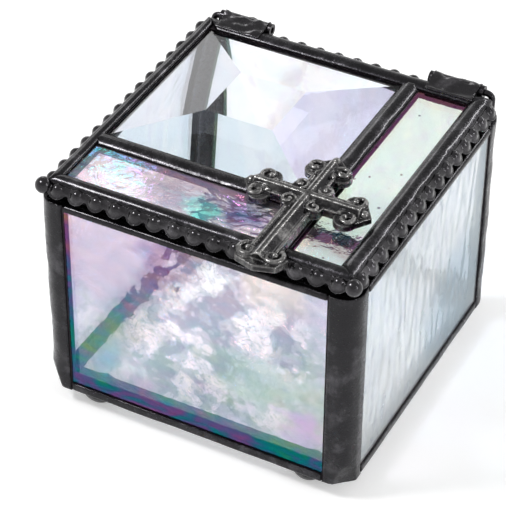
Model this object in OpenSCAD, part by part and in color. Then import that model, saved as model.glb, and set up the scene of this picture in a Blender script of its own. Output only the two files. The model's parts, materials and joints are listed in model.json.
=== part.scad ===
// Glass casket box: copper-foiled glass panels joined by dark solder seams, on four ball feet,
// with a hinged lid of three glass pieces, a beaded edging and a cast scroll cross.
// Millimetres. +Z up, origin on the table under the middle of the box, front face to -Y.

/* [Box size] */
// Width over the solder, side to side
body_w = 76; // [64:0.5:100]
// Depth over the solder, front to back
body_d = 76; // [64:0.5:100]
// Height from the underside to the top of the rim
body_h = 52.6; // [36:0.2:80]
// Height the ball feet hold the underside above the table
foot_h = 3.8; // [2.5:0.1:3.8]
// Radius of a ball foot
foot_r = 4.4; // [4.3:0.1:4.8]
// Distance of a foot's middle from the side of the box
foot_inset = 11.5; // [10:0.5:18]

/* [Glass] */
// Thickness of every pane
glass_t = 3; // [2:0.1:4]
// Width of the lid pane along the right edge
side_strip = 16.6; // [13:0.2:20]
// Depth of the lid pane along the front edge
front_strip = 16.6; // [13:0.2:20]
// Side of the raised flat in the middle of the bevelled pane
bevel_flat = 16.4; // [8:0.2:24]
// Height of that flat above the edge of the pane
bevel_rise = 2.4; // [1:0.1:2.8]
// Gap between two lid panes
pane_gap = 0.8; // [0.6:0.1:1.2]

/* [Foil and solder] */
// Thickness of the copper foil round each pane
foil_t = 0.2; // [0.1:0.05:0.3]
// Thickness of the solder over the foil on a flat face
solder_t = 0.4; // [0.3:0.05:0.8]
// Reach of a corner seam along each face
corner_cover = 6.7; // [5.5:0.1:8]
// Outer radius of a corner seam
corner_r = 4.5; // [3:0.1:4.7]
// Radius of the hollow bead inside a corner
inner_bead_r = 2.4; // [1.5:0.1:3]
// Radius of the hollow bead along the inside edges of the bottom
floor_bead_r = 3; // [1.6:0.1:3]
// Height of the rim seam on the outer faces
rim_cover = 1.5; // [1.2:0.1:3]
// Height of the bottom seam on the outer faces
base_cover = 2.3; // [2:0.1:4]

/* [Lid] */
// Distance of the lid's edge in from the faces of the box
lid_inset = 2; // [1.6:0.1:2.4]
// Width of the seams between the lid panes
seam_w = 4.6; // [3.6:0.1:6]
// Height of a lid seam above the foil
seam_crest = 1; // [0.6:0.1:1.4]
// Solder reach over the glass at the front edge
cover_front = 2.2; // [1.4:0.1:3.4]
// Solder reach over the glass at the right edge
cover_right = 3; // [1.4:0.1:3.4]
// Solder reach over the glass at the back edge
cover_back = 3.1; // [1.4:0.1:3.4]
// Solder reach over the glass at the left edge
cover_left = 1.6; // [1.4:0.1:3.4]
// Thickness of the solder outside the foiled edge
border_web = 1.1; // [0.9:0.1:1.6]
// Gap between the closed lid and the rim
lid_gap = 0.2; // [0.1:0.05:0.5]

/* [Beaded edging] */
// Distance from bead to bead
bead_pitch = 4.72; // [4.2:0.02:5.4]
// Radius of a bead
bead_r = 1.55; // [1.2:0.05:1.8]
// Radius of the scallop that a bead sits on
scallop_r = 2.25; // [1.9:0.05:2.5]
// Thickness of the scalloped strip
strip_t = 0.6; // [0.4:0.05:0.9]
// Radius of the bead on each front corner
corner_bead_r = 1.9; // [1.5:0.1:2.4]

/* [Hinge] */
// Outer radius of a hinge tube
tube_r = 1.5; // [1.4:0.05:1.8]
// Radius of a hinge pin
pin_r = 0.75; // [0.6:0.05:0.85]
// Running clearance between pin and tube
pin_fit = 0.05; // [0.02:0.01:0.09]
// Length of a hinge tube
tube_l = 13.3; // [9:0.1:14]
// Inset of a tube's outer end from the side of the lid
tube_inset = 2.7; // [2.2:0.1:4]
// Length of the pin leg soldered to the box
leg_l = 13; // [9:0.2:16]
// Radius of the solder round a pin leg
leg_solder_r = 1.5; // [1.2:0.1:2]

/* [Cross] */
// Distance of the cross's middle to the left of the long seam
cross_left = 0.8; // [0:0.1:1.5]
// Distance of the cross's middle in front of the short seam
cross_ahead = 0.5; // [0:0.1:1.5]
// Length of a short arm up to its scrolls
arm_l = 10; // [9:0.1:11]
// Length of the shaft from the middle to the scrolls of the foot
shaft_l = 21; // [18:0.1:22]
// Half width of the arms
arm_hw = 2.5; // [2:0.1:2.8]
// Half width of the shaft
shaft_hw = 3.1; // [2.6:0.1:3.4]
// Thickness of the cross's back plate
plate_t = 1.5; // [1.1:0.1:1.8]
// Height of the ridges above the back of the cross
ridge_h = 3.1; // [2.6:0.1:3.4]
// Outer radius of an end scroll, along its wire
scroll_r = 1.9; // [1.6:0.05:2.1]
// Radius of the scroll wire
wire_r = 0.6; // [0.45:0.05:0.65]
// Outer radius of a small scroll in a corner of the crossing, along its wire
small_scroll_r = 1.45; // [1.2:0.05:1.6]

/* [Hidden] */
$fn = 48;
big = 200;
hair = 0.02;                              // hairline between a wire and the solder round it
lip_round = 0.8;                          // rounding of solder edges
base_lip = 1.8;                           // bottom seam's reach under the bottom pane
neck = 0.3;                               // solder thickness where two panels meet inside a corner
solder_tone = [0.16, 0.16, 0.18];
foil_tone = [0.72, 0.45, 0.30];
glass_tone = [0.80, 0.84, 0.90, 0.5];
clear_tone = [0.90, 0.95, 0.97, 0.4];
metal_tone = [0.25, 0.25, 0.27];

// Heights, from the table up
under_z = foot_h;
rim_z = under_z + body_h;
skin = solder_t + foil_t;                 // solder and foil over a pane's face
pane_low = under_z + skin;
pane_high = rim_z - skin;
lid_under = rim_z + lid_gap;
lid_low = lid_under + skin;               // underside of the lid glass
lid_top = lid_low + glass_t;              // top of the lid glass at its edge
foil_top = lid_top + foil_t;

// Distances outwards from the middle planes; side 0 is the front, then right, back, left
function half_out(i) = (i % 2 == 0 ? body_d : body_w) / 2;
function half_run(i) = (i % 2 == 0 ? body_w : body_d) / 2;
function foil_out(i) = half_out(i) - solder_t;
function foil_in(i) = foil_out(i) - glass_t - 2 * foil_t;
function pane_run(i) = foil_in(i + 1) - neck;
function cover(i) = [cover_front, cover_right, cover_back, cover_left][i];
function lid_out(i) = half_out(i) - lid_inset;
function lid_half(i) = lid_out(i) - border_web - foil_t;
seam_x = lid_half(1) - side_strip - pane_gap / 2;     // middle of the long seam
seam_y = front_strip + pane_gap / 2 - lid_half(0);    // middle of the short seam

// Hinge line, behind the lid and level with its glass
hinge_y = lid_out(2) + tube_r;
hinge_z = lid_top + 0.4;
tube_out = lid_out(1) - tube_inset;
bend_r = 1.3;
leg_x = tube_out + bend_r + 0.6;          // pin leg, just past the bend
tube_coat = 0.4;                          // solder over a tube

// Beaded edging: the scallops lean outwards on the lid's upper edge
tilt = 45;
drop = 0.8;                               // depth of a scallop's middle below the glass
overhang = 0.5;                           // reach of a scallop's middle past the lid's edge
band_t = 0.22;                            // solder run over the strip, under the beads
sunk = 0.45;                              // depth of a bead's middle below the strip's face
bead_ends = 2;                            // length of a full row left free for its corners
back_ends = 1.8;                          // the same for the short row between the hinges

// Cross
cross_x = seam_x - cross_left;
cross_y = cross_ahead - seam_y;
cross_low = foil_top + seam_crest - 0.1;  // back of the cross, let into the crests
tip = 4.2;                                // reach of the foot plate past its scrolls
lip_h = 0.5;                              // raised lips along the ridges
small_wire_r = 0.42;                      // wire of the small scrolls

// The origin is under the middle of the whole outline, so the box stands a little behind it
front_reach = max(cross_y + shaft_l + tip, lid_out(0) + overhang + corner_bead_r);
back_reach = hinge_y + tube_r + tube_coat;
centre_shift = (front_reach - back_reach) / 2;
module in_frame() { translate([0, centre_shift, 0]) children(); }

// ---- helpers ----

// Turns a piece drawn for the front to side i
module on_side(i) { rotate([0, 0, 90 * i]) children(); }

// Runs a section drawn as (distance outwards, height) along the front
module run(length) { rotate([90, 0, -90]) linear_extrude(length, center = true) children(); }

// A block from one corner to the other
module block(a, b) { translate(a) cube(b - a); }

// A flat rectangle from one corner to the other
module rect(a, b) { translate(a) square(b - a); }

// Rectangle whose corners are rounded on the sides listed: [high inner, high outer, low outer]
module soft_rect(a, b, r, high_in = true, high_out = true, low_out = false) {
    difference() {
        rect(a, b);
        if (high_in) rect([a.x - 1, b.y - r], [a.x + r, b.y + 1]);
        if (high_out) rect([b.x - r, b.y - r], [b.x + 1, b.y + 1]);
        if (low_out) rect([b.x - r, a.y - 1], [b.x + 1, a.y + r]);
    }
    if (high_in) translate([a.x + r, b.y - r]) circle(r);
    if (high_out) translate([b.x - r, b.y - r]) circle(r);
    if (low_out) translate([b.x - r, a.y + r]) circle(r);
}

// Frame of foil round a pane: a thin shell with a window left open on both faces
module foil_frame(low, high, lips_low, lips_high, axis) {
    t = [foil_t, foil_t, foil_t];
    reach = axis == "y" ? [0, 1, 0] : [0, 0, 1];
    difference() {
        block(low - t, high + t);
        block(low, high);
        block(low + lips_low - reach * 2, high - lips_high + reach * 2);
    }
}

// ---- box ----

// Pane of side i, with the play its foil takes
module side_pane(i, grow = 0) {
    block([-pane_run(i) + foil_t - grow, -foil_out(i) + foil_t - grow, pane_low - grow],
        [pane_run(i) - foil_t + grow, -foil_in(i) - foil_t + grow, pane_high + grow]);
}

module side_glass(i) { color(glass_tone) on_side(i) side_pane(i); }

module side_foil(i) {
    side_lip = pane_run(i) - foil_t - (half_run(i) - corner_cover);
    color(foil_tone) on_side(i) foil_frame(
        [-pane_run(i) + foil_t, -foil_out(i) + foil_t, pane_low],
        [pane_run(i) - foil_t, -foil_in(i) - foil_t, pane_high],
        [side_lip, 0, under_z + base_cover - pane_low],
        [side_lip, 0, pane_high - rim_z + rim_cover], "y");
}

// Bottom pane, grown by grow all round
module bottom_pane(grow = 0) {
    x = foil_in(1) - foil_t + grow;
    y = foil_in(0) - foil_t + grow;
    block([-x, -y, pane_low - grow], [x, y, pane_low + glass_t + grow]);
}

module bottom_glass() { color(glass_tone) bottom_pane(); }

module bottom_foil() {
    x = foil_in(1) - foil_t;
    y = foil_in(0) - foil_t;
    lip = [base_lip, base_lip, 0];
    color(foil_tone) foil_frame([-x, -y, pane_low], [x, y, pane_low + glass_t], lip, lip, "z");
}

// Everything foiled that the box's solder lies against
module foiled_panes() {
    for (i = [0:3]) on_side(i) side_pane(i, foil_t);
    bottom_pane(foil_t);
}

// Rounded outer quarter of a corner seam
module quarter(c) {
    intersection() {
        translate(c - [corner_r, corner_r]) circle(corner_r);
        rect(c - [corner_r, corner_r], c);
    }
}

// Plan of the front right corner seam, for corner point c
module corner_plan(c) {
    near = c - [corner_cover, corner_cover];
    wall = c - [2 * solder_t + glass_t + 2 * foil_t, 2 * solder_t + glass_t + 2 * foil_t];
    edge = solder_t * 2;                  // feathered edge of the seam
    difference() {
        union() {
            polygon([near, [c.x - solder_t, near.y], [c.x, near.y + edge], [c.x, c.y - corner_r],
                [c.x - corner_r, c.y - corner_r], [c.x - corner_r, c.y], [near.x + edge, c.y],
                [near.x, c.y - solder_t]]);
            quarter(c);
        }
        rect(near - [1, 1], wall);
    }
    difference() {
        rect(wall - [inner_bead_r, inner_bead_r], wall);
        translate(wall - [inner_bead_r, inner_bead_r]) circle(inner_bead_r);
    }
}

// Corner seam; sx and sy say which corner
module corner_seam(sx, sy) {
    c = [body_w / 2, body_d / 2];
    near = c - [corner_cover, corner_cover];
    worn = 6;                             // height over which the lower end tapers
    color(solder_tone) difference() {
        union() {
            to_corner(sx, sy) {
                translate([0, 0, under_z]) linear_extrude(body_h) corner_plan(c);
                translate([0, 0, under_z]) linear_extrude(solder_t) intersection() {
                    rect(near, c);
                    union() {
                        rect(near, c - [corner_r, 0]);
                        rect(near, c - [0, corner_r]);
                        quarter(c);
                    }
                }
            }
            if (sy > 0) leg_solder(sx);
        }
        foiled_panes();
        to_corner(sx, sy) translate([c.x - corner_r, c.y - corner_r, under_z]) rotate([0, 0, 45])
            translate([corner_r, 0, worn]) rotate([0, 10, 0])
                block([0, -corner_r * 2, -worn * 2], [corner_r, corner_r * 2, 0]);
        if (sy > 0) hinge_pin_body(sx, hair);
    }
}

// Mirrors a corner piece drawn for +X +Y
module to_corner(sx, sy) { mirror([sx < 0 ? 1 : 0, 0, 0]) mirror([0, sy < 0 ? 1 : 0, 0]) children(); }

// Solder round the leg of a hinge pin
module leg_solder(sx) {
    low = hinge_z - leg_l + leg_solder_r;
    high = rim_z - leg_solder_r - solder_t;
    translate([sx * leg_x, hinge_y, 0]) {
        translate([0, 0, low]) cylinder(r = leg_solder_r, h = high - low);
        for (z = [low, high]) translate([0, 0, z]) sphere(leg_solder_r);
    }
}

module rim_seam(i) {
    color(solder_tone) on_side(i) difference() {
        run(2 * (half_run(i) - corner_cover))
            soft_rect([foil_in(i) - solder_t, rim_z - rim_cover], [half_out(i), rim_z], lip_round);
        side_pane(i, foil_t);
    }
}

module base_seam(i) {
    color(solder_tone) on_side(i) difference() {
        run(2 * (half_run(i) - corner_cover)) {
            soft_rect([foil_in(i), under_z], [half_out(i), under_z + base_cover], solder_t,
                high_in = false, low_out = true);
            rect([foil_in(i) - base_lip, under_z], [half_out(i) - lip_round, pane_low - foil_t]);
        }
        side_pane(i, foil_t);
        rotate([0, 0, -90 * i]) bottom_pane(foil_t);
    }
}

// Hollow bead of solder inside the box, between the bottom and side i
module inner_seam(i) {
    floor_z = pane_low + glass_t + foil_t;
    near = foil_in(i) - floor_bead_r;
    color(solder_tone) on_side(i) run(2 * (foil_in(i + 1) - floor_bead_r)) difference() {
        rect([near, floor_z], [foil_in(i), floor_z + floor_bead_r]);
        translate([near, floor_z + floor_bead_r]) circle(floor_bead_r);
    }
}

module foot(sx, sy) {
    y = half_out(0) - foot_r - solder_t;
    color(solder_tone) intersection() {
        translate([sx * (body_w / 2 - foot_inset), sy * y, foot_h + solder_t]) sphere(foot_r);
        block([-big, -big, 0], [big, big, under_z]);
    }
}

// ---- hinge ----

// Pin with its leg bent down beside the box; grow opens the hole it leaves in the solder
module hinge_pin_body(sx, grow = 0) {
    r = pin_r + grow;
    mirror([sx < 0 ? 1 : 0, 0, 0]) translate([0, hinge_y, hinge_z]) {
        translate([tube_out - tube_l + 0.5, 0, 0]) rotate([0, 90, 0])
            cylinder(r = r, h = leg_x - bend_r - tube_out + tube_l - 0.5);
        translate([leg_x - bend_r, 0, -bend_r]) rotate([90, 0, 0])
            rotate_extrude(angle = 90) translate([bend_r, 0]) circle(r);
        translate([leg_x, 0, -leg_l]) cylinder(r = r, h = leg_l - bend_r);
    }
}

module hinge_pin(sx) { color(metal_tone) hinge_pin_body(sx); }

module hinge_tube(sx) {
    color(metal_tone) mirror([sx < 0 ? 1 : 0, 0, 0])
        translate([tube_out - tube_l, hinge_y, hinge_z]) rotate([0, 90, 0]) difference() {
            cylinder(r = tube_r, h = tube_l);
            translate([0, 0, -1]) cylinder(r = pin_r + pin_fit, h = tube_l + 2);
        }
}

// Solder that wraps a tube and ties it to the lid's border
module hinge_solder(sx) {
    bare = 0.9;                           // tube left bare at each end
    length = tube_l - 2 * bare;
    edge = lid_out(2);
    near = lid_half(2) - cover_back + 0.5;
    color(solder_tone) mirror([sx < 0 ? 1 : 0, 0, 0]) difference() {
        translate([tube_out - tube_l / 2, 0, 0]) union() {
            translate([-length / 2, hinge_y, hinge_z]) rotate([0, 90, 0])
                cylinder(r = tube_r + tube_coat, h = length);
            mirror([0, 1, 0]) run(length) polygon([
                [near, foil_top + 0.2], [near, foil_top + 0.9],
                [near + 0.5, foil_top + 1.2], [hinge_y - 0.5, hinge_z + tube_r + tube_coat],
                [hinge_y, hinge_z], [hinge_y + 1.2, hinge_z - 1.4], [edge + 0.8, lid_top - 2.4],
                [edge - 0.3, lid_top - 2.4], [edge - 0.3, foil_top]]);
        }
        translate([0, hinge_y, hinge_z]) rotate([0, 90, 0]) cylinder(r = tube_r + hair, h = big);
        border_body(2);
        mirror([sx < 0 ? 1 : 0, 0, 0]) long_seam_body();
    }
}

// ---- lid ----

// The three panes as [low corner, high corner]
bevel_low = [-lid_half(3), seam_y + pane_gap / 2, lid_low];
bevel_high = [seam_x - pane_gap / 2, lid_half(2), lid_top];
front_low = [-lid_half(3), -lid_half(0), lid_low];
front_high = [seam_x - pane_gap / 2, seam_y - pane_gap / 2, lid_top];
side_low = [seam_x + pane_gap / 2, -lid_half(0), lid_low];
side_high = [lid_half(1), lid_half(2), lid_top];
seam_lip = (seam_w - pane_gap) / 2;       // solder reach over the glass at an inner seam

// Distance of a border's crest from the lid's middle
function crest_at(i) = (lid_half(i) - cover(i) + lid_out(i)) / 2;

module bevel_pane() {
    low = bevel_low + [cover_left, seam_lip, 0];
    high = bevel_high - [seam_lip, cover_back, 0];
    mid = (low + high) / 2;
    block(bevel_low, bevel_high);
    intersection() {
        block([low.x, low.y, lid_low + 1], [high.x, high.y, lid_top + bevel_rise]);
        intersection_for (s = [0:3]) {
            half = (s % 2 == 0 ? high.y - low.y : high.x - low.x) / 2;
            slope = atan(bevel_rise / (half - bevel_flat / 2));
            translate([mid.x, mid.y, lid_top]) on_side(s) translate([0, -half, 0])
                rotate([slope, 0, 0]) block([-big, -1, -big], [big, big, 0]);
        }
    }
}

module lid_bevel() { color(clear_tone) bevel_pane(); }
module lid_front_strip() { color(glass_tone) block(front_low, front_high); }
module lid_side_strip() { color(glass_tone) block(side_low, side_high); }

module lid_foil(low, high, lips_low, lips_high) {
    color(foil_tone) foil_frame(low, high, lips_low, lips_high, "z");
}

// Plan that keeps a border run between its two mitred corners
module mitre(i) {
    in = 9;
    out = 6;
    x = lid_out(i + 1);
    y = lid_out(i);
    translate([0, 0, lid_under - 1]) linear_extrude(20) polygon([
        [-x - out, -y - out], [x + out, -y - out], [x - in, in - y], [in - x, in - y]]);
}

// Rounded crest of solder between two distances on the foil
module crest(from, to, rise) {
    half = (to - from) / 2;
    r = (half * half + rise * rise) / (2 * rise);
    intersection() {
        translate([from + half, foil_top + rise - r]) circle(r);
        rect([from - 1, foil_top], [to + 1, foil_top + 2 * rise]);
    }
}

module border_body(i) {
    glass = lid_half(i);
    edge = lid_out(i);
    under_lip = 1.3;                      // solder reach under the glass
    on_side(i) intersection() {
        run(2 * lid_out(i + 1)) {
            crest(glass - cover(i), edge, seam_crest);
            rect([glass + foil_t, lid_under + lip_round], [edge, foil_top]);
            soft_rect([glass - under_lip, lid_under], [edge, lid_low - foil_t], solder_t / 2,
                high_in = false, high_out = false, low_out = true);
            rect([glass + foil_t, lid_under + solder_t / 2], [edge, lid_under + lip_round]);
        }
        mitre(i);
    }
}

module border(i) {
    color(solder_tone) difference() {
        border_body(i);
        if (i == 0) cross_seat();
    }
}

// Seam between two lid panes along Y, with a crest above, a flat run below and a web between;
// the web runs on past the solder at each end, as far as the foils do
module seam_run(from, to, web_from, web_to) {
    flat = [seam_w / 2, 0];
    web = [pane_gap / 2 - foil_t, 0];
    along = [90, 0, 180];
    translate([0, from, 0]) rotate(along) linear_extrude(to - from) {
        crest(-seam_w / 2, seam_w / 2, seam_crest);
        rect([-flat.x, lid_under], [flat.x, lid_low - foil_t]);
    }
    block([-web.x, web_from, lid_low - foil_t], [web.x, web_to, foil_top]);
}

module long_seam_body() {
    difference() {
        translate([seam_x, 0, 0])
            seam_run(-crest_at(0), crest_at(2), -lid_half(0) - foil_t, lid_half(2) + foil_t);
        for (i = [0, 2]) border_body(i);
    }
}

module long_seam() {
    color(solder_tone) difference() {
        long_seam_body();
        cross_seat();
    }
}

module short_seam() {
    color(solder_tone) difference() {
        translate([0, seam_y, 0]) rotate([0, 0, 90])
            seam_run(-seam_x, crest_at(3), pane_gap / 2 - foil_t - seam_x, lid_half(3) + foil_t);
        border_body(3);
        long_seam_body();
        cross_seat();
    }
}

// ---- beaded edging ----

// Beads in the row along side i: a full row, or one that fits between the hinge tubes
function bead_count(i) = i == 2
    ? floor((2 * (tube_out - tube_l) - back_ends) / bead_pitch)
    : round((2 * lid_out(i + 1) - bead_ends) / bead_pitch);

// Strip, scallops and low beads of side i, drawn as the front; a band of solder fills the
// trough between the border's crest and the beads
module bead_row(i) {
    half = (bead_count(i) - 1) / 2 * bead_pitch;
    end = half + scallop_r / 2;
    low = -scallop_r * 0.4;
    high = scallop_r / 2;
    translate([0, -lid_out(i) - overhang, lid_top - drop]) rotate([tilt, 0, 0]) {
        rotate([90, 0, 90]) linear_extrude(2 * end, center = true) polygon([
            [low, -strip_t], [low, 0], [low + 2 * band_t, band_t], [high, 1.5 * band_t],
            [high, -strip_t]]);
        for (x = [-half:bead_pitch:half + 0.1]) translate([x, 0, 0]) {
            translate([0, 0, -strip_t]) cylinder(r = scallop_r, h = strip_t);
            cylinder(r1 = bead_r + band_t, r2 = bead_r - band_t, h = 2 * band_t);
            translate([0, 0, -sunk]) sphere(bead_r);
        }
    }
}

module corner_beads() {
    for (s = [-1, 1])
        translate([s * (lid_out(1) + overhang), -lid_out(0) - overhang, lid_top - drop])
            rotate([0, 0, 45]) sphere(corner_bead_r);
}

module edging(i) {
    bite = 0.6;                           // reach of the edging in past the lid's edge
    x = lid_out(1) - bite;
    y = lid_out(0) - bite;
    color(solder_tone) difference() {
        union() {
            on_side(i) bead_row(i);
            if (i == 0) corner_beads();
        }
        for (k = [0, 1, 3]) border_body((i + k) % 4);
        block([-x, -y, 0], [x, y, big]);
        if (i == 0) cross_seat();
        if (i % 2 == 1) corner_beads();
    }
}

// ---- cross ----

// Room that the cross's flat back takes from the seams under it
module cross_seat() {
    translate([cross_x, -cross_y, cross_low]) {
        block([-shaft_hw - 4, -shaft_l - 6, 0], [shaft_hw + 4, arm_l + 8, 5]);
        block([-arm_l - 6, -arm_hw - 4, 0], [arm_l + 6, arm_hw + 4, 5]);
    }
}

// Ridged bar lying along +Y from the middle: raised lips, two flutes and a crest
module ridge(length, hw) {
    crest_hw = 0.5;
    lip = 0.6;
    rotate([-90, 0, 0]) mirror([0, 1, 0]) linear_extrude(length) polygon([
        [-hw, 0], [-hw, plate_t + lip_h], [-hw + lip, plate_t + lip_h],
        [-hw + lip * 1.6, plate_t + lip_h / 5], [-crest_hw, ridge_h], [crest_hw, ridge_h],
        [hw - lip * 1.6, plate_t + lip_h / 5], [hw - lip, plate_t + lip_h],
        [hw, plate_t + lip_h], [hw, 0]]);
}

// Scroll of wire w in two half turns round a bud
module scroll(r, w) {
    step = r * 0.4;
    for (a = [[0, 0, r], [-step, 180, r - step]]) translate([a[0], 0, 0]) rotate([0, 0, a[1]])
        rotate_extrude(angle = 180) translate([a[2], 0]) circle(w);
    translate([r * 0.08, 0, 0]) sphere(r * 0.4);
}

// Scroll raised a little on its round of back plate
module plate_scroll(r, w, h, turn) {
    lift = w / 2;
    cylinder(r = r + w, h = h);
    translate([0, 0, h + lift]) rotate([0, 0, turn]) scroll(r, w);
}

// Arm with its ridge, two mirrored scrolls on a pointed plate and a bud on the tip
module arm(length, bud) {
    at = 2.9;                             // distance of a scroll from the arm's middle line
    point = length + scroll_r + at + bud;
    ridge(length + 2.4, arm_hw);
    for (s = [0, 1]) mirror([s, 0, 0]) translate([-at, length, 0])
        plate_scroll(scroll_r, wire_r, plate_t, -70);
    linear_extrude(plate_t) polygon([[-at - 2, length - 1], [-at - 1.6, length + 1.7], [0, point],
        [at + 1.6, length + 1.7], [at + 2, length - 1]]);
    translate([0, point - 1.7, plate_t]) sphere(1.1);
}

// Small scroll, one in each corner of the crossing
module corner_scroll() {
    out = (arm_hw + shaft_hw) / 2 + small_scroll_r * 0.85;
    translate([out, 0, 0]) plate_scroll(small_scroll_r, small_wire_r, plate_t + lip_h, 150);
}

module foot_of_cross() {
    linear_extrude(plate_t) polygon([[-shaft_hw, -shaft_l + 4], [-6, -shaft_l + 0.2],
        [-4.6, -shaft_l - 2.8], [0, -shaft_l - tip], [4.6, -shaft_l - 2.8], [6, -shaft_l + 0.2],
        [shaft_hw, -shaft_l + 4]]);
    for (s = [0, 1]) mirror([s, 0, 0]) translate([-3, -shaft_l, 0])
        plate_scroll(scroll_r, wire_r, plate_t, 110);
}

module cross() {
    color(metal_tone) translate([cross_x, -cross_y, cross_low]) {
        for (turn = [90, 0, -90]) rotate([0, 0, turn]) arm(arm_l, turn == 0 ? 0.8 : 0);
        rotate([0, 0, 180]) ridge(shaft_l + 2, shaft_hw);
        foot_of_cross();
        for (turn = [45:90:315]) rotate([0, 0, turn]) corner_scroll();
    }
}

// ---- drawing ----

in_frame() side_glass(0);  // glass_front
in_frame() side_glass(1);  // glass_right
in_frame() side_glass(2);  // glass_back
in_frame() side_glass(3);  // glass_left
in_frame() bottom_glass();  // glass_bottom
in_frame() side_foil(0);  // foil_front
in_frame() side_foil(1);  // foil_right
in_frame() side_foil(2);  // foil_back
in_frame() side_foil(3);  // foil_left
in_frame() bottom_foil();  // foil_bottom
in_frame() corner_seam(1, -1);  // corner_seam_fr
in_frame() corner_seam(1, 1);  // corner_seam_br
in_frame() corner_seam(-1, 1);  // corner_seam_bl
in_frame() corner_seam(-1, -1);  // corner_seam_fl
in_frame() rim_seam(0);  // rim_seam_front
in_frame() rim_seam(1);  // rim_seam_right
in_frame() rim_seam(2);  // rim_seam_back
in_frame() rim_seam(3);  // rim_seam_left
in_frame() base_seam(0);  // base_seam_front
in_frame() base_seam(1);  // base_seam_right
in_frame() base_seam(2);  // base_seam_back
in_frame() base_seam(3);  // base_seam_left
in_frame() inner_seam(0);  // inner_seam_front
in_frame() inner_seam(1);  // inner_seam_right
in_frame() inner_seam(2);  // inner_seam_back
in_frame() inner_seam(3);  // inner_seam_left
in_frame() foot(1, -1);  // foot_fr
in_frame() foot(1, 1);  // foot_br
in_frame() foot(-1, 1);  // foot_bl
in_frame() foot(-1, -1);  // foot_fl
in_frame() hinge_pin(1);  // hinge_pin_right
in_frame() hinge_pin(-1);  // hinge_pin_left
in_frame() lid_bevel();
in_frame() lid_front_strip();
in_frame() lid_side_strip();
in_frame()  // foil_bevel
    lid_foil(bevel_low, bevel_high, [cover_left, seam_lip, 0], [seam_lip, cover_back, 0]);
in_frame()  // foil_front_strip
    lid_foil(front_low, front_high, [cover_left, cover_front, 0], [seam_lip, seam_lip, 0]);
in_frame()  // foil_side_strip
    lid_foil(side_low, side_high, [seam_lip, cover_front, 0], [cover_right, cover_back, 0]);
in_frame() long_seam();
in_frame() short_seam();
in_frame() border(0);  // border_front
in_frame() border(1);  // border_right
in_frame() border(2);  // border_back
in_frame() border(3);  // border_left
in_frame() edging(0);  // edging_front
in_frame() edging(1);  // edging_right
in_frame() edging(2);  // edging_back
in_frame() edging(3);  // edging_left
in_frame() cross();
in_frame() hinge_tube(1);  // hinge_tube_right
in_frame() hinge_tube(-1);  // hinge_tube_left
in_frame() hinge_solder(1);  // hinge_solder_right
in_frame() hinge_solder(-1);  // hinge_solder_left
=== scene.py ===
# %% [markdown]
# # A soldered glass casket box
# This lesson gives looks to a small keepsake box. Its walls are rolled glass with a shimmering
# film, its lid holds a bevelled pane, and dark solder seams, a beaded edging and a cast cross
# hold it together. The exact solids come from the construction model, and here each one gets
# the surface that it has on the bench.

# %% Load the solids
import json
import math

import bpy
import numpy as np
from mathutils import Matrix, Vector

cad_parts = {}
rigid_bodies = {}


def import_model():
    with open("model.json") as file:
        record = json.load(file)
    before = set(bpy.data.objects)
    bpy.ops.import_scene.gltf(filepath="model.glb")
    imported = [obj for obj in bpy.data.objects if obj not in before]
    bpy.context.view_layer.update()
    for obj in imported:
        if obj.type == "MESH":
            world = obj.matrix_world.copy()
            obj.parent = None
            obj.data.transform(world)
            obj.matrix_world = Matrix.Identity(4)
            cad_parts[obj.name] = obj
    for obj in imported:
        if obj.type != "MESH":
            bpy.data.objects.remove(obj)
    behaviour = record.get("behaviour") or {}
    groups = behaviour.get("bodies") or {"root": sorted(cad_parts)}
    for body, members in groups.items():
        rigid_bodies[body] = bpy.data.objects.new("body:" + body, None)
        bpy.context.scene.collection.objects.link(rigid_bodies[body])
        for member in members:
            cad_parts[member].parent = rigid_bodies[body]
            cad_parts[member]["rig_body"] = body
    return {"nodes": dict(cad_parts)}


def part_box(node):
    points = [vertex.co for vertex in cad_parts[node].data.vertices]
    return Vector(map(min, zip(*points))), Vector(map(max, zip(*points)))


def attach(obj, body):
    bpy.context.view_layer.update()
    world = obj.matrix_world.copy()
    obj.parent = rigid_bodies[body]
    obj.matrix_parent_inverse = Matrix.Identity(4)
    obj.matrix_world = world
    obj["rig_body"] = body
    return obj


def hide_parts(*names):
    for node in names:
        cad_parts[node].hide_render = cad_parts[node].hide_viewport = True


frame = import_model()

MM = 0.001
X, Y, Z = 0, 1, 2
nodes = frame["nodes"]
scene = bpy.context.scene
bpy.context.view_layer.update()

# %% [markdown]
# ## Camera
# The view is from the front right and above, with a long lens, which keeps upright edges
# nearly parallel. A camera looks along its own -Z, so three turns place it: a small roll, the
# tilt down from level, and the swing round the box.

# %% Place the camera
LENS_MM = 162.8
AZIMUTH, ELEVATION, ROLL = 27.35, 38.85, 0.43
EYE = Vector((180.8, -357.6, 352.8)) * MM

lens = bpy.data.cameras.new("camera")
lens.lens = LENS_MM
lens.clip_start = 0.01
camera = bpy.data.objects.new("camera", lens)
scene.collection.objects.link(camera)
turn = Matrix.Rotation(math.radians(AZIMUTH), 4, "Z")
turn = turn @ Matrix.Rotation(math.radians(90 - ELEVATION), 4, "X")
turn = turn @ Matrix.Rotation(math.radians(ROLL), 4, "Z")
camera.matrix_world = Matrix.Translation(EYE) @ turn
scene.camera = camera
scene.view_settings.view_transform = "Standard"
print("camera stands", round(EYE.length, 3), "m from the box")

# %% [markdown]
# ## Small helpers for materials
# A material is a tree of nodes. A few helpers keep the cells short: one adds a node and fills or
# links its inputs, and one starts a node group with named sockets, so that an effect is built
# once and used with other values elsewhere. The others are steps that come up again and again.


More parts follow.
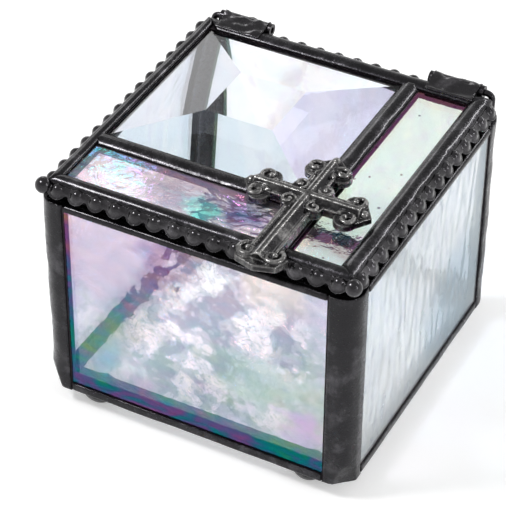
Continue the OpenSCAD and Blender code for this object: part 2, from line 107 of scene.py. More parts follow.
# %% Node helpers
def put(tree, kind, inputs=None, **settings):
    """Adds a shader node, applies its settings, and fills or links the inputs named."""
    node = tree.nodes.new("ShaderNode" + kind)
    for key, value in settings.items():
        setattr(node, key, value)
    for key, value in (inputs or {}).items():
        if isinstance(value, bpy.types.NodeSocket):
            tree.links.new(value, node.inputs[key])
        else:
            node.inputs[key].default_value = value
    return node


def blend_colours(tree, share, first, second):
    """A colour between two others, by a share from 0 to 1."""
    node = put(tree, "Mix", {0: share, 6: first, 7: second}, data_type="RGBA")
    return node.outputs[2]


def scaled(tree, value, low, high, to_low=0.0, to_high=1.0, smooth=True):
    """Maps low..high onto to_low..to_high, held inside that range."""
    kind = "SMOOTHSTEP" if smooth else "LINEAR"
    ends = {0: value, 1: low, 2: high, 3: to_low, 4: to_high}
    return put(tree, "MapRange", ends, interpolation_type=kind).outputs[0]


def maths(tree, operation, first, second=0.0):
    """One arithmetic step on two numbers or sockets."""
    return put(tree, "Math", {0: first, 1: second}, operation=operation).outputs[0]


def pulled_about(tree, place, scale, detail, reach):
    """A place shifted by a noise, by up to about half of reach metres each way."""
    pull = put(tree, "TexNoise", {"Vector": place, "Scale": scale, "Detail": detail}).outputs["Color"]
    pull = put(tree, "VectorMath", {0: pull, 1: (0.5, 0.5, 0.5)}, operation="SUBTRACT").outputs[0]
    pull = put(tree, "VectorMath", {0: pull, "Scale": reach}, operation="SCALE").outputs[0]
    return put(tree, "VectorMath", {0: place, 1: pull}, operation="ADD").outputs[0]


def let_lamps_through(tree, shader, colour, output):
    """Glass for the eye and tinted air for shadow rays, so that lamps shine through."""
    air = put(tree, "BsdfTransparent", {"Color": colour})
    lamp_ray = put(tree, "LightPath").outputs["Is Shadow Ray"]
    mixed = put(tree, "MixShader", {0: lamp_ray, 1: shader.outputs[0], 2: air.outputs[0]})
    tree.links.new(mixed.outputs[0], output.inputs["Surface"])


def new_group(name, takes, gives):
    """An empty node group with its sockets, and the two nodes that hold them."""
    group = bpy.data.node_groups.new(name, "ShaderNodeTree")
    kinds = {"colour": "NodeSocketColor", "value": "NodeSocketFloat", "vector": "NodeSocketVector"}
    for title, kind in takes.items():
        group.interface.new_socket(name=title, in_out="INPUT", socket_type=kinds[kind])
    for title, kind in gives.items():
        group.interface.new_socket(name=title, in_out="OUTPUT", socket_type=kinds[kind])
    inside = group.nodes.new("NodeGroupInput")
    outside = group.nodes.new("NodeGroupOutput")
    return group, inside, outside


def place_group(tree, group, inputs):
    """Places a group in a material with its own values."""
    return put(tree, "Group", inputs, node_tree=group)


def new_material(name):
    """A material with a Principled shader, ready to be filled."""
    material = bpy.data.materials.new(name)
    material.use_nodes = True
    tree = material.node_tree
    return material, tree, tree.nodes["Principled BSDF"], tree.nodes["Material Output"]


# %% [markdown]
# ## Dark patina
# Solder is bright when it is fresh. The maker wipes it with a patina that turns it near black,
# with grey where the coat is thin and a faint violet sheen. Seen close, the surface has soft
# lumps, a fine grain and a few pits. One group makes the colour, the gloss and the height.

# %% Patina group
patina, inside, outside = new_group(
    "patina",
    {"Dark": "colour", "Pale": "colour", "Worn": "value", "Gloss": "value"},
    {"Color": "colour", "Roughness": "value", "Height": "value"},
)
where = put(patina, "TexCoord").outputs["Object"]
cloud = put(patina, "TexNoise", {"Vector": where, "Scale": 190, "Detail": 4, "Roughness": 0.6})
grain = put(patina, "TexNoise", {"Vector": where, "Scale": 1300, "Detail": 3})
pit = put(patina, "TexVoronoi", {"Vector": where, "Scale": 620}, feature="F1")
streak_way = put(patina, "Mapping", {"Vector": where, "Scale": (1.0, 1.0, 0.25)}).outputs[0]
streak = put(patina, "TexNoise", {"Vector": streak_way, "Scale": 700, "Detail": 5, "Roughness": 0.7})

thin = scaled(patina, cloud.outputs[0], 0.46, 0.74)
rubbed = maths(patina, "MAXIMUM", maths(patina, "MULTIPLY", thin, 0.5), inside.outputs["Worn"])
rubbed = maths(patina, "MULTIPLY", rubbed, scaled(patina, streak.outputs[0], 0.3, 0.62, 0.35, 1.0))
colour = blend_colours(patina, rubbed, inside.outputs["Dark"], inside.outputs["Pale"])
patina.links.new(colour, outside.inputs["Color"])

spread = scaled(patina, grain.outputs[0], 0.3, 0.7, -0.07, 0.1)
patina.links.new(maths(patina, "ADD", inside.outputs["Gloss"], spread), outside.inputs["Roughness"])

hollow = scaled(patina, pit.outputs["Distance"], 0.0, 0.22, -0.6, 0.0)
height = maths(patina, "ADD", maths(patina, "MULTIPLY", cloud.outputs[0], 1.6), hollow)
height = maths(patina, "ADD", height, maths(patina, "MULTIPLY", grain.outputs[0], 0.28))
patina.links.new(height, outside.inputs["Height"])


METALLIC = 0.9
WAX_ROUGHNESS = 0.08


def patina_material(name, dark, pale, gloss, relief, worn=None, coat=0.3):
    """Dark metal from the patina group. worn names a mesh attribute with the rubbed edges, and
    coat is the share of clear wax over it."""
    material, tree, shader, _ = new_material(name)
    rub = put(tree, "Attribute", attribute_name=worn).outputs["Fac"] if worn else 0.0
    skin = place_group(tree, patina, {"Dark": dark, "Pale": pale, "Worn": rub, "Gloss": gloss})
    bump = put(tree, "Bump", {"Height": skin.outputs["Height"], "Strength": relief, "Distance": 0.25 * MM})
    tree.links.new(skin.outputs["Color"], shader.inputs["Base Color"])
    tree.links.new(skin.outputs["Roughness"], shader.inputs["Roughness"])
    tree.links.new(bump.outputs[0], shader.inputs["Normal"])
    shader.inputs["Metallic"].default_value = METALLIC
    shader.inputs["Coat Weight"].default_value = coat
    shader.inputs["Coat Roughness"].default_value = WAX_ROUGHNESS
    return material


solder = patina_material(
    "solder", dark=(0.015, 0.014, 0.017, 1), pale=(0.15, 0.145, 0.16, 1), gloss=0.23, relief=0.35,
    coat=0.45)
# Beads and hinge lumps: the same solder painted lighter, as painted light for their shine.
lit_bead_solder = patina_material(
    "lit_bead_solder", dark=(0.024, 0.022, 0.026, 1), pale=(0.22, 0.21, 0.23, 1), gloss=0.22, relief=0.25,
    coat=0.8)
hinge_metal = patina_material(
    "hinge_metal", dark=(0.024, 0.022, 0.026, 1), pale=(0.16, 0.15, 0.155, 1), gloss=0.22, relief=0.4)
cast_metal = patina_material(
    "cast_metal", dark=(0.018, 0.017, 0.019, 1), pale=(0.50, 0.49, 0.48, 1), gloss=0.26, relief=0.5,
    worn="rubbed")
foil = patina_material(
    "copper_foil", dark=(0.02, 0.016, 0.02, 1), pale=(0.06, 0.035, 0.035, 1), gloss=0.4, relief=0.3,
    coat=0.0)
print("metals:", [m.name for m in (solder, lit_bead_solder, hinge_metal, cast_metal, foil)])

# %% [markdown]
# ## Soft, hand-run metal
# The construction model has sharp, even sections. A seam run by hand is softer and a little
# uneven. A voxel remesh turns a sharp solid into an even skin, a few rounds of smoothing round
# its edges, and small waves pull the outward faces in. Faces that lie on glass are left alone.


# %% Recast a solid
def waves(points, length, seed, count=18):
    """Smooth seeded lumps of about -1 to 1 at these points, length metres apart."""
    random = np.random.default_rng(seed)
    way = random.normal(size=(count, 3))
    way /= np.linalg.norm(way, axis=1)[:, None]
    way *= 2 * math.pi / (length * random.uniform(0.7, 1.7, count))[:, None]
    phase = random.uniform(0, 2 * math.pi, count)
    return np.sin(points @ way.T + phase).sum(1) / math.sqrt(count)


def read_points(mesh, what="co"):
    """The points of a mesh, or its normals, as an array."""
    source = mesh.vertices if what == "co" else mesh.vertex_normals
    values = np.empty(len(mesh.vertices) * 3, np.float32)
    source.foreach_get("co" if what == "co" else "vector", values)
    return values.reshape(-1, 3).astype(float)


def write_points(mesh, points):
    """Moves the points of a mesh to the rows of an array."""
    mesh.vertices.foreach_set("co", points.astype(np.float32).ravel())
    mesh.update()


def settle(piece):
    """Turns a piece's modifiers into plain mesh."""
    graph = bpy.context.evaluated_depsgraph_get()
    mesh = bpy.data.meshes.new_from_object(piece.evaluated_get(graph))
    piece.modifiers.clear()
    mesh.validate()
    piece.data = mesh


def dress(piece, node, material):
    """Puts a finished piece in place of its solid."""
    piece.data.materials.clear()
    piece.data.materials.append(material)
    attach(piece, nodes[node]["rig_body"])
    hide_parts(node)


def stands_out(mesh, rounds=14):
    """How far each point of a mesh stands out from the mean of its neighbours, smoothed."""
    points = read_points(mesh)
    normals = read_points(mesh, "normal")
    edges = np.empty(len(mesh.edges) * 2, np.int64)
    mesh.edges.foreach_get("vertices", edges)
    a, b = edges.reshape(-1, 2).T
    ends = np.concatenate((a, b))
    others = np.concatenate((b, a))
    count = np.maximum(np.bincount(ends, minlength=len(points)), 1)
    mean = points
    for _ in range(rounds):
        sums = [np.bincount(ends, weights=mean[others, k], minlength=len(points)) for k in range(3)]
        mean = np.stack(sums, -1) / count[:, None]
    return ((points - mean) * normals).sum(1)


def rub(mesh, share):
    """Stores how far the patina is rubbed off at each point, 0 to 1."""
    layer = mesh.attributes.new("rubbed", "FLOAT", "POINT")
    layer.data.foreach_set("value", share.astype(np.float32))


MIDDLE = Vector((0.0, 2.0, 30.0)) * MM


def recast(
    node, material, voxel=0.24, rounds=8, lump=0.13, length=10.0, fine=0.015, seed=1, keep=0.5
):
    """A softened, slightly uneven copy of a solid, in millimetres. lump is the depth of waves that
    lie length apart, fine that of small ones, and keep the share of faces that stays."""
    piece = bpy.data.objects.new(node + "_cast", nodes[node].data.copy())
    scene.collection.objects.link(piece)
    skin = piece.modifiers.new("skin", "REMESH")
    skin.mode = "VOXEL"
    skin.voxel_size = voxel * MM
    soften = piece.modifiers.new("soften", "SMOOTH")
    soften.iterations = rounds
    settle(piece)
    if lump:
        points = read_points(piece.data)
        away = points - np.array(MIDDLE)
        away /= np.linalg.norm(away, axis=1)[:, None]
        normals = read_points(piece.data, "normal")
        facing = np.clip((normals * away).sum(1), 0, 1)
        depth = lump * MM * (0.5 + 0.5 * np.clip(waves(points, length * MM, seed), -1, 1))
        depth += fine * MM * (0.5 + 0.5 * np.clip(waves(points, 2.2 * MM, seed + 90), -1, 1))
        write_points(piece.data, points - normals * (facing * depth)[:, None])
    if keep < 1:
        piece.modifiers.new("thin_out", "DECIMATE").ratio = keep
        settle(piece)
    piece.data.shade_smooth()
    dress(piece, node, material)
    return piece


seams = [n for n in nodes if "_seam" in n or n.startswith(("border_", "foot_", "hinge_solder"))]
for number, node in enumerate(sorted(seams)):
    if node.startswith("hinge_solder"):
        # Hinge lumps take the solder painted lighter, as painted light for their shine.
        recast(node, lit_bead_solder, voxel=0.2, rounds=5, lump=0.9, length=3.4, seed=number + 1)
    elif node.startswith("corner_seam"):
        recast(node, solder, lump=0.3, length=9.0, seed=number + 1)
    else:
        recast(node, solder, seed=number + 1)
seam_faces = [len(piece.data.polygons) for piece in scene.objects if piece.name.endswith("_cast")]
print("seams recast:", len(seams), "faces:", sum(seam_faces))

# %% [markdown]
# ## Beaded edging
# The edging is a scalloped strip with a round bead on each scallop. It was tinned with solder,
# which fills the corners where bead and strip meet. A finer remesh and more smoothing give
# those soft fillets, and the beads keep their shine. Their solder is painted lighter than the
# seams' as painted light for the brighter shine they catch.

# %% Edging
for number, side in enumerate(("front", "right", "back", "left")):
    recast("edging_" + side, lit_bead_solder, voxel=0.15, lump=0.1, length=5.0, seed=40 + number)

# %% [markdown]
# ## Cast cross
# The cross is cast pewter, darkened and then rubbed, so its ridges, rims and buds are lighter
# than its flutes. The remesh softens it like a casting. A thumb rubs what stands out from its
# surroundings and lies high, so those two together say how far the patina is gone.

# %% Cross
cross = recast("cross", cast_metal, voxel=0.12, rounds=6, lump=0.0, keep=0.6)
height = read_points(cross.data)[:, Z]
raised = np.clip((height - np.quantile(height, 0.45)) / (1.4 * MM), 0, 1)
edge = np.clip((stands_out(cross.data) - 0.008 * MM) / (0.06 * MM), 0, 1)
rubbed = edge * (0.4 + 0.6 * raised)
rub(cross.data, rubbed)
print("cross faces:", len(cross.data.polygons), "rubbed share:", round(float(rubbed.mean()), 3))

# %% [markdown]
# ## Hinges and foil
# The hinge is a drawn tube on a bent wire. Both are round already, so they keep the solids'
# meshes and take the same patina. The foil keeps its solids too: only a thin dark line of it
# shows through the glass at each seam.


# %% Hinge wire, tubes and foil
def paint(node, material):
    """Gives a solid that stays as it is a material."""
    mesh = nodes[node].data
    mesh.materials.clear()
    mesh.materials.append(material)


for node in nodes:
    if node.startswith(("hinge_pin", "hinge_tube")):
        paint(node, hinge_metal)
        nodes[node].data.shade_smooth()
        nodes[node].data.set_sharp_from_angle(angle=math.radians(40))
    elif node.startswith("foil"):
        paint(node, foil)

# %% [markdown]
# ## Rolled glass
# The walls, the bottom and two lid panes are art glass. One face is smooth with a vapour film
# that shimmers, the other was pressed by a textured roller. The relief is real: a fine grid of
# points is pushed in from the pane's face, so that it bends what is seen through it.


# %% Rolled panes
def rolled_pane(node, across, texture, pitch=0.55):
    """A slab in the solid's place. across is its thin axis, and texture gives the two reliefs, low
    face and high face, in millimetres at points in millimetres."""
    low, high = (np.array(corner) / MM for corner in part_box(node))
    u, v = [axis for axis in range(3) if axis != across]
    counts = [max(2, int((high[a] - low[a]) / pitch) + 1) for a in (u, v)]
    us = np.linspace(low[u], high[u], counts[0])
    vs = np.linspace(low[v], high[v], counts[1])
    grid_u, grid_v = np.meshgrid(us, vs, indexing="ij")
    rim = np.minimum.reduce([grid_u - low[u], high[u] - grid_u, grid_v - low[v], high[v] - grid_v])
    fade = np.clip(rim / 2.5, 0, 1)
    points = []
    for side, end in enumerate((low, high)):
        sheet = np.zeros(grid_u.shape + (3,))
        sheet[..., u] = grid_u
        sheet[..., v] = grid_v
        inward = 1 if side == 0 else -1
        sheet[..., across] = end[across] + inward * fade * texture[side](sheet)
        points.append(sheet.reshape(-1, 3))
    nu, nv = counts
    index = np.arange(nu * nv).reshape(nu, nv)
    quads = np.stack([index[:-1, :-1], index[1:, :-1], index[1:, 1:], index[:-1, 1:]], -1).reshape(-1, 4)
    flip = across == Y
    faces_of = (quads if flip else quads[:, ::-1]).tolist()
    faces_of += ((quads[:, ::-1] if flip else quads) + nu * nv).tolist()
    loop = list(index[:, 0]) + list(index[-1, 1:]) + list(index[-2::-1, -1]) + list(index[0, -2:0:-1])
    for first, second in zip(loop, loop[1:] + loop[:1]):
        side_face = [first, second, second + nu * nv, first + nu * nv]
        faces_of.append([int(i) for i in (side_face[::-1] if flip else side_face)])
    mesh = bpy.data.meshes.new(node + "_rolled")
    mesh.from_pydata((np.concatenate(points) * MM).tolist(), [], faces_of)
    mesh.update()
    mesh.shade_smooth()
    mesh.set_sharp_from_angle(angle=math.radians(50))
    piece = bpy.data.objects.new(node + "_rolled", mesh)
    scene.collection.objects.link(piece)
    return piece


def hammered(seed, size=5.0, depth=0.22, where=None, stretch=(1, 1, 1)):
    """Crumpled folds with finer ripples. where gives their share at points, from 0 to 1."""
    def relief(points):
        flat = points.reshape(-1, 3) * np.array(stretch)
        bend = np.stack([waves(flat, 9, seed + k) for k in (1, 2, 3)], -1)
        fold = 1 - np.abs(np.clip(waves(flat + 1.2 * bend, size * 1.6, seed + 4), -1.2, 1.2))
        big = waves(flat + 0.9 * bend, size, seed + 5)
        small = waves(flat + 0.9 * bend, size * 0.38, seed + 6)
        value = 0.45 + 0.25 * fold + 0.2 * np.clip(big, -1.2, 1.2) + 0.1 * np.clip(small, -1, 1)
        value = value.reshape(points.shape[:-1])
        share = 1.0 if where is None else where(points)
        return depth * (0.06 + share * value)
    return relief


def streaky(seed, along, size=3.4, depth=0.16):
    """Long ripples that run along one axis, as where glass was drawn."""
    stretch = np.ones(3)
    stretch[along] = 0.28

    def relief(points):
        flat = points.reshape(-1, 3) * stretch
        bend = np.stack([waves(flat, 8, seed + k) for k in (1, 2, 3)], -1)
        value = 0.5 + 0.4 * np.clip(waves(flat + 0.7 * bend, size, seed + 4), -1.2, 1.2)
        return depth * value.reshape(points.shape[:-1])
    return relief


def smooth_face(seed):
    """The film side: almost flat."""
    def relief(points):
        flat = points.reshape(-1, 3)
        return (0.02 + 0.016 * waves(flat, 16, seed)).reshape(points.shape[:-1])
    return relief


def near(u, v, middle, inner, outer):
    """A share that is 1 within inner of a point on the pane and falls to 0 at outer, in mm."""
    def share(points):
        away = np.hypot(points[..., u] - middle[0], points[..., v] - middle[1])
        t = np.clip((outer - away) / (outer - inner), 0, 1)
        return t * t * (3 - 2 * t)
    return share


# Folds fill the middle and lower right of the front wall, and the right part of the front strip
front_folds = near(u=X, v=Z, middle=(9, 34), inner=14, outer=30)
strip_folds = near(u=X, v=Y, middle=(14, -26), inner=15, outer=28)

crumpled = hammered(seed=11, size=8.0, depth=0.5, where=front_folds)
back_ripples = streaky(seed=21, along=Z, size=6.0, depth=0.08)
left_ripples = streaky(seed=31, along=Z, size=6.0, depth=0.08)
right_ripples = streaky(seed=41, along=Z, size=3.0, depth=0.2)
floor_relief = hammered(seed=51, size=5.5, depth=0.12)
strip_relief = hammered(seed=61, size=3.0, depth=0.3, where=strip_folds, stretch=(0.45, 1, 1))
strip_ripples = streaky(seed=71, along=Y, size=8.0, depth=0.04)

panes = {
    "glass_front": rolled_pane("glass_front", Y, (smooth_face(3), crumpled)),
    "glass_back": rolled_pane("glass_back", Y, (back_ripples, smooth_face(4))),
    "glass_left": rolled_pane("glass_left", X, (smooth_face(5), left_ripples)),
    "glass_right": rolled_pane("glass_right", X, (right_ripples, smooth_face(6))),
    "glass_bottom": rolled_pane("glass_bottom", Z, (smooth_face(7), floor_relief)),
    "lid_front_strip": rolled_pane("lid_front_strip", Z, (strip_relief, smooth_face(8)), pitch=0.4),
    "lid_side_strip": rolled_pane("lid_side_strip", Z, (strip_ripples, smooth_face(9))),
}
print("panes:", {name: len(piece.data.polygons) for name, piece in panes.items()})

# %% [markdown]
# ## Glass and its film
# Plain glass needs little more than transmission and an index. The film is a layer some hundred
# nanometres thick: its colour changes with its thickness, so a slow noise drives that. It shows
# most over a dark seam and hardly over white. Base colour adds the pale tints that the glass
# itself has, and on some panes painted reflections, painted shade and painted highlights. One
# group mixes three tints in patches, with a few dark seeds where they are asked.

# %% Tint group
tints, inside, outside = new_group(
    "glass_tints",
    {"First": "colour", "Second": "colour", "Third": "colour", "Size": "value", "Stretch": "vector",
     "Seeds": "value"},
    {"Color": "colour"},
)
place = put(tints, "TexCoord").outputs["Object"]
where = put(tints, "Mapping", {"Vector": place, "Scale": inside.outputs["Stretch"]}).outputs[0]
per_size = maths(tints, "DIVIDE", 1.0, inside.outputs["Size"])
patch = put(tints, "TexNoise", {"Vector": where, "Scale": per_size, "Detail": 2, "Distortion": 0.8})
finer = maths(tints, "MULTIPLY", per_size, 2.3)
fleck = put(tints, "TexNoise", {"Vector": where, "Scale": finer, "Detail": 4, "Distortion": 0.5})
first_share = scaled(tints, patch.outputs[0], 0.45, 0.56)
second_share = scaled(tints, fleck.outputs[0], 0.54, 0.63)
colour = blend_colours(tints, first_share, inside.outputs["First"], inside.outputs["Second"])
colour = blend_colours(tints, second_share, colour, inside.outputs["Third"])
seed = put(tints, "TexVoronoi", {"Vector": place, "Scale": 330}, feature="F1")
dot = scaled(tints, seed.outputs["Distance"], 0.11, 0.15, 1.0, 0.0)
lot = put(tints, "SeparateColor", {0: seed.outputs["Color"]}).outputs[0]
chosen = scaled(tints, lot, 0.62, 0.64)
dot = maths(tints, "MULTIPLY", maths(tints, "MULTIPLY", dot, chosen), inside.outputs["Seeds"])
colour = blend_colours(tints, dot, colour, (0.06, 0.06, 0.07, 1))
tints.links.new(colour, outside.inputs["Color"])

# %% [markdown]
# ## Crumpled film
# Where the roller crumpled the hot glass, the film broke into lobes with creases between, like
# small clouds. Their colour is painted light on the lobes, brightest at the crowns, and painted
# shade in the creases. Two sizes of rounded cells, pulled about by a noise, give that shape. A
# fine noise adds thin lines of painted shade where it crosses its middle value.

# %% Lobe group
lobes, inside, outside = new_group("lobes", {"Size": "value"}, {"Lobe": "value", "Height": "value"})
where = put(lobes, "TexCoord").outputs["Object"]
where = pulled_about(lobes, where, scale=160, detail=4, reach=7 * MM)
per_size = maths(lobes, "DIVIDE", 1.0, inside.outputs["Size"])
large = put(lobes, "TexVoronoi", {"Vector": where, "Scale": per_size}, feature="SMOOTH_F1")
finer = maths(lobes, "MULTIPLY", per_size, 2.7)
small = put(lobes, "TexVoronoi", {"Vector": where, "Scale": finer}, feature="SMOOTH_F1")
LARGE_SHARE = 0.62
crown = scaled(lobes, large.outputs["Distance"], 0.15, 0.65, 1.0, 0.0)
crown = maths(lobes, "MULTIPLY", crown, LARGE_SHARE)
knob = scaled(lobes, small.outputs["Distance"], 0.15, 0.65, 1.0, 0.0)
knob = maths(lobes, "MULTIPLY", knob, 1 - LARGE_SHARE)
height = maths(lobes, "ADD", crown, knob)
fine = put(lobes, "TexNoise", {"Vector": where, "Scale": 280, "Detail": 5, "Roughness": 0.6})
line = maths(lobes, "ABSOLUTE", maths(lobes, "SUBTRACT", fine.outputs[0], 0.5))
line = scaled(lobes, line, 0.003, 0.025, 0.15, 1.0)
# Share of painted light on the lobes; the fine lines cut thin painted shade out of it.
pale = scaled(lobes, height, 0.29, 0.42)
lobes.links.new(maths(lobes, "MULTIPLY", pale, line), outside.inputs["Lobe"])
lobes.links.new(height, outside.inputs["Height"])

# %% [markdown]
# ## One recipe for all art glass
# Each pane has its own tints, soft spots of painted reflection, shade and highlight, and film
# thickness, so the recipe takes those as values. Spots are places on the pane in millimetres.
# Lamps shine through by a mix with a Transparent shader for shadow rays only.


# %% Glass material
GLASS_INDEX = 1.5
FILM_INDEX = 2.05
THIN_FILM_INDEX = 1.8
# Colour of the painted shade at the foot of each lobe.
LOBE_SHADED_EDGE = (0.78, 0.72, 0.80, 1)


def spot(tree, place, middle, inner, outer):
    """A soft mask round a point. Lengths are in millimetres."""
    middle = tuple(length * MM for length in middle)
    away = put(tree, "VectorMath", {0: place, 1: middle}, operation="DISTANCE").outputs["Value"]
    return scaled(tree, away, inner * MM, outer * MM, 1.0, 0.0)


def glass_material(
    name, first, second, third, size, stretch, film, painted_spots=(), seeds=0.0, index=FILM_INDEX, clear=1.0,
    folds=None
):
    """Art glass. film starts with a thickness and its wander in nanometres, and then lists
    (axis, from, to, change) steps. painted_spots are (middle, inner, outer, colour, share): soft
    spots of painted reflection, shade and highlight. folds is (middle, inner, outer, lobe size,
    colour of painted shade in the creases, colour of painted light on the lobes). Less clear
    glass is milky."""
    material, tree, shader, output = new_material(name)
    tint = place_group(tree, tints, {"First": first, "Second": second, "Third": third,
                                     "Size": size * MM, "Stretch": stretch, "Seeds": seeds})
    colour = tint.outputs["Color"]
    place = put(tree, "TexCoord").outputs["Object"]
    stirred = pulled_about(tree, place, scale=170, detail=3, reach=16 * MM)
    if folds:
        middle, inner, outer, lobe_size, crease_shade_tone, lobe_light_tone = folds
        shapes = place_group(tree, lobes, {"Size": lobe_size * MM}).outputs
        area = spot(tree, stirred, middle, inner, outer)
        # Painted shade in the creases, painted light on the lobes, brighter towards their crowns.
        crease = maths(tree, "MULTIPLY", area, maths(tree, "SUBTRACT", 1.0, shapes["Lobe"]))
        lobe = maths(tree, "MULTIPLY", area, shapes["Lobe"])
        rising = scaled(tree, shapes["Height"], 0.36, 0.66)
        painted_lobe_light = blend_colours(tree, rising, LOBE_SHADED_EDGE, lobe_light_tone)
        colour = blend_colours(tree, crease, colour, crease_shade_tone)
        colour = blend_colours(tree, lobe, colour, painted_lobe_light)
    # The spots lay painted reflections, shade and highlights over the tint.
    for middle, inner, outer, tone, share in painted_spots:
        mask = maths(tree, "MULTIPLY", spot(tree, stirred, middle, inner, outer), share)
        colour = blend_colours(tree, mask, colour, tone)
    tree.links.new(colour, shader.inputs["Base Color"])
    shader.inputs["Transmission Weight"].default_value = clear
    shader.inputs["Roughness"].default_value = 0.02
    shader.inputs["IOR"].default_value = GLASS_INDEX
    shader.inputs["Thin Film IOR"].default_value = index
    axes = put(tree, "SeparateXYZ", {0: stirred}).outputs
    flat = put(tree, "Mapping", {"Vector": place, "Scale": (0.5, 1, 1)}).outputs[0]
    slow = put(tree, "TexNoise", {"Vector": flat, "Scale": 380, "Detail": 4, "Distortion": 0.6})
    usual, wander, *steps = film
    depth = scaled(tree, slow.outputs[0], 0.3, 0.7, usual - wander, usual + wander, smooth=False)
    for axis, start, end, change in steps:
        step = scaled(tree, axes[axis], start * MM, end * MM, 0.0, change)
        depth = maths(tree, "ADD", depth, step)
    tree.links.new(depth, shader.inputs["Thin Film Thickness"])
    relief = put(tree, "TexNoise", {"Vector": place, "Scale": 520, "Detail": 3}).outputs[0]
    if folds:
        relief = maths(tree, "ADD", relief, maths(tree, "MULTIPLY", area, shapes["Height"]))
    bump = put(tree, "Bump", {"Height": relief, "Strength": 0.25, "Distance": 0.12 * MM})
    tree.links.new(bump.outputs[0], shader.inputs["Normal"])
    let_lamps_through(tree, shader, colour, output)
    return material


# %% [markdown]
# ## The seven art glass panes
# The front wall has the strongest film: it deepens from violet to teal towards the lower edge,
# and its middle is crumpled. The side walls are almost white, and the right one is a little
# milky. The strips in the lid have a thicker or thinner film towards one end.

# %% Pane materials
snow = (0.99, 0.985, 0.995, 1)
ice = (0.90, 0.94, 0.98, 1)
lavender = (0.90, 0.88, 0.97, 1)
film_glass = glass_material(
    "film_glass", (0.70, 0.65, 0.72, 1), (0.58, 0.54, 0.64, 1), (0.50, 0.49, 0.55, 1),
    size=7.5, stretch=(1, 1, 1), film=(276, 26, (Z, 46, 24, 46), (Z, 15, 9, -24), (X, 0, 30, 20)),
    # Painted spots: the grey-green pair low right is painted shade, the rest painted reflections.
    painted_spots=[
        ((-24, -37, 44), 8, 20, (0.51, 0.46, 0.55, 1), 0.85),
        ((-9, -37, 50), 2, 9, (0.30, 0.22, 0.35, 1), 0.85),
        ((15, -37, 25), 5, 11, (0.54, 0.64, 0.64, 1), 0.75),
        ((26, -37, 24), 3, 10, (0.60, 0.68, 0.66, 1), 0.75),
        ((19, -37, 53), 4, 12, (1.0, 0.82, 0.66, 1), 0.6),
        ((-23, -37, 17), 2, 8, (0.42, 0.58, 0.82, 1), 0.8),
        ((-16, -37, 15), 1, 4, (0.80, 1.0, 1.0, 1), 0.9),
        ((13, -37, 14), 1, 5, (1.0, 0.92, 1.0, 1), 0.9),
        ((22, -37, 16), 1, 4, (1.0, 0.86, 0.98, 1), 0.9),
        ((27, -37, 16), 2, 7, (0.74, 0.42, 0.82, 1), 0.9),
    ],
    # Painted shade in the creases and painted light on the lobes of the crumpled middle.
    folds=((5, -37, 34), 20, 29, 7.0, (0.38, 0.38, 0.43, 1), (1.0, 0.92, 0.95, 1)),
)
side_glass = glass_material(
    "side_glass", snow, ice, lavender, size=9, stretch=(1, 1, 0.5), film=(232, 10), index=THIN_FILM_INDEX)
right_glass = glass_material(
    "right_glass", (1.0, 1.0, 1.0, 1), (0.94, 0.94, 0.98, 1), (0.77, 0.77, 0.85, 1),
    size=3.2, stretch=(1, 1, 0.35), film=(222, 8, (Z, 58, 8, 15)),
    # The blue-grey spot low on this pane is painted shade seen through it.
    painted_spots=[((37, 20, 17), 8, 21, (0.60, 0.68, 0.77, 1), 0.85)], index=THIN_FILM_INDEX, clear=0.66)
floor_glass = glass_material(
    "floor_glass", (0.95, 0.96, 0.97, 1), (0.90, 0.92, 0.94, 1), (0.93, 0.92, 0.96, 1),
    size=7, stretch=(1, 1, 1), film=(300, 22), index=THIN_FILM_INDEX)
strip_glass = glass_material(
    "strip_glass", (0.88, 0.98, 0.98, 1), (0.91, 0.98, 0.97, 1), (0.93, 0.94, 1.0, 1),
    size=9, stretch=(1, 0.5, 1), film=(260, 8, (Y, 37, 27, 16)), seeds=1.0)
front_strip_glass = glass_material(
    "front_strip_glass", (0.96, 0.87, 0.92, 1), (1.0, 0.94, 0.97, 1), (0.58, 0.53, 0.62, 1),
    size=4, stretch=(0.5, 1, 1), film=(286, 22, (X, -12, -26, 30)),
    # Painted spots: two aqua-white painted glints, grey painted shade, dark blue painted reflection.
    painted_spots=[
        ((-10, -25, 61), 3, 10, (0.56, 0.52, 0.62, 1), 1.0),
        ((-18, -27, 61), 1.5, 3.5, (0.60, 1.0, 0.96, 1), 1.0),
        ((-3.4, -27, 61), 3, 5.5, (0.34, 1.0, 0.92, 1), 1.0),
        ((6, -24, 61), 3, 8, (0.20, 0.24, 0.45, 1), 0.9),
    ], clear=0.85)

for name, material in (
    ("glass_front", film_glass), ("glass_left", side_glass), ("glass_right", right_glass),
    ("glass_back", side_glass), ("glass_bottom", floor_glass),
    ("lid_front_strip", front_strip_glass), ("lid_side_strip", strip_glass),
):
    dress(panes[name], name, material)
    print(name, "is", material.name)

# %% [markdown]
# ## Bevelled pane
# The middle of the lid is clear plate with four wide ground bevels. The solid already has its
# exact facets, and flat facets are what bend the view into sharp pieces, so its mesh stays. The
# right, left and front bevels mirror darker parts of a room, and a tint on each stands for that.

# %% Clear plate
PLATE_INDEX = 1.52

